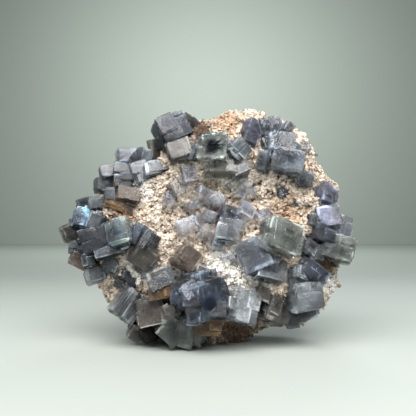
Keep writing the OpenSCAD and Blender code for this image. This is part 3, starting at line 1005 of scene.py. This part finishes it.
# %% Scatter the druse
DRUSE = {  # (x, z) of the middle, radius, how many at most, smallest and largest size; in millimetres
    "fluorite_slate": [
        ((-116, 102), 24, 26, 6, 13), ((-84, 162), 24, 26, 4, 9), ((-14, 196), 18, 14, 4, 9),
        ((0, 32), 28, 28, 5, 11), ((110, 108), 20, 20, 5, 10), ((-77, 63), 9, 60, 1.6, 3.6),
    ],
    "fluorite_smoky": [
        ((-104, 84), 24, 22, 5, 12), ((-98, 142), 16, 14, 4, 9), ((-60, 34), 26, 28, 5, 11),
        ((48, 34), 26, 26, 4, 10), ((14, 188), 12, 8, 3, 6),
    ],
    "fluorite_clear": [
        ((90, 44), 20, 16, 4, 9), ((80, 180), 22, 22, 4, 9), ((120, 90), 20, 20, 4, 10),
        ((60, 92), 16, 12, 3, 7), ((10, 120), 50, 26, 2, 4),
    ],
}
DRUSE_WIDTH = 127 * MM  # no druse farther out, where it would widen the outline


def add_small_crystal(bm, co, growth, rng):
    normal, least, most = growth
    size = rng.uniform(least, most) * MM
    edges = Vector([size * rng.uniform(0.75, 1.3) for _ in range(3)])
    turn = Euler([rng.uniform(-0.7, 0.7) for _ in range(3)]).to_matrix().to_4x4()
    turn = Matrix.Translation(co + normal * size * rng.uniform(-0.1, 0.25)) @ turn
    mood = (rng.random(), 0.1, rng.uniform(0.1, 0.6))
    plant(bm, turn, edges, rng, mood, (rng.uniform(0.0, 0.6), rng.choice((-0.6, -0.4, 0.0))), plain=True)


def on_patch(vert, middle, radius, least):
    """Whether a druse crystal may sit on this point of the rock."""
    return (
        vert.normal.y < 0.4
        and abs(vert.co.x) < DRUSE_WIDTH
        and spot_share([(middle, radius)], vert.co, 0.5) > 0
        and not inside_crystal(vert.co, SUNK * least * MM)
    )


def druse_piece(slot):
    rng = random.Random(slot)
    layers = {key: "float_vector" for key in CRYSTAL_VALUES}
    spots = []
    for middle, radius, count, least, most in DRUSE[slot]:
        patch = (middle, radius, least)
        found = pick_spots([crust.data, plate.data], count, rng, lambda vert: on_patch(vert, *patch))
        spots += [(co, (normal, least, most)) for co, normal in found]
    scatter(slot + "_druse", layers, spots, rng, add_small_crystal, crystal_finishes[slot], slot)


for slot in DRUSE:
    druse_piece(slot)

# %% [markdown]
# ## Floor and light
# The cluster stands on a plain pale floor that turns up behind it. One wide soft light hangs above and
# in front, like the lamps over a display shelf, so the crystals' upper faces shine and the hollows under
# them stay dark. Weak ones fill from the front, the sides and the back, and the last washes over the
# backdrop.

# %% Floor
FLOOR_HALF, BACKDROP = 3.0, 3.0  # metres
bm = bmesh.new()
bmesh.ops.create_grid(bm, x_segments=1, y_segments=1, size=FLOOR_HALF)
back_edge = [e for e in bm.edges if all(v.co.y > FLOOR_HALF - 0.1 for v in e.verts)]
raised = bmesh.ops.extrude_edge_only(bm, edges=back_edge)["geom"]
raised_verts = [item for item in raised if isinstance(item, bmesh.types.BMVert)]
bmesh.ops.translate(bm, vec=(0, 0, BACKDROP), verts=raised_verts)
floor_material, _, _ = new_material("floor", {"Base Color": rgb(152, 158, 154), "Roughness": 0.6})
floor = to_object("floor", bm, floor_material)
floor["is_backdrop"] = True
print("floor width in metres:", 2 * FLOOR_HALF)

# %% Lights
LIGHTS = {  # place, aim, width and height in metres; power in watts; colour
    "shelf_lamps": ((-0.05, -0.52, 0.80), HEART, (1.4, 0.6), 28, (1.0, 0.98, 0.95)),
    "front_panel": ((0.4, -1.3, 0.8), HEART, (1.0, 0.5), 3, (0.93, 0.97, 1.0)),
    "left_fill": ((-0.9, -0.5, 0.4), HEART, (0.5, 0.6), 2, (0.86, 0.93, 1.0)),
    "right_rim": ((0.8, 0.1, 0.5), HEART, (0.4, 0.4), 2, (0.9, 0.95, 1.0)),
    "back_fill": ((0.3, 1.1, 1.3), HEART, (0.8, 0.4), 7, (0.96, 0.98, 1.0)),
    "backdrop_wash": ((0, 1.2, 1.6), (0, 3.0, 0.9), (1.5, 0.5), 50, (0.95, 1.0, 0.93)),
}
ROOM = {"Color": rgb(176, 186, 184), "Strength": 0.55}


def soft_light(name, place, aim, size, power, colour):
    data = bpy.data.lights.new(name, "AREA")
    data.shape = "RECTANGLE"
    data.size, data.size_y = size
    data.energy = power
    data.color = colour
    light = bpy.data.objects.new(name, data)
    light.location = place
    light.rotation_euler = (Vector(aim) - Vector(place)).to_track_quat("-Z", "Y").to_euler()
    bpy.context.scene.collection.objects.link(light)


for name, light in LIGHTS.items():
    soft_light(name, *light)

world = bpy.data.worlds.new("room")
world.use_nodes = True
for key, value in ROOM.items():
    world.node_tree.nodes["Background"].inputs[key].default_value = value
bpy.context.scene.world = world
bpy.context.scene.view_settings.view_transform = "Standard"
print("lights:", len(LIGHTS))

# %% Measure and finish
[[list(corner) for corner in box] for box in (bare_bounds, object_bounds())]
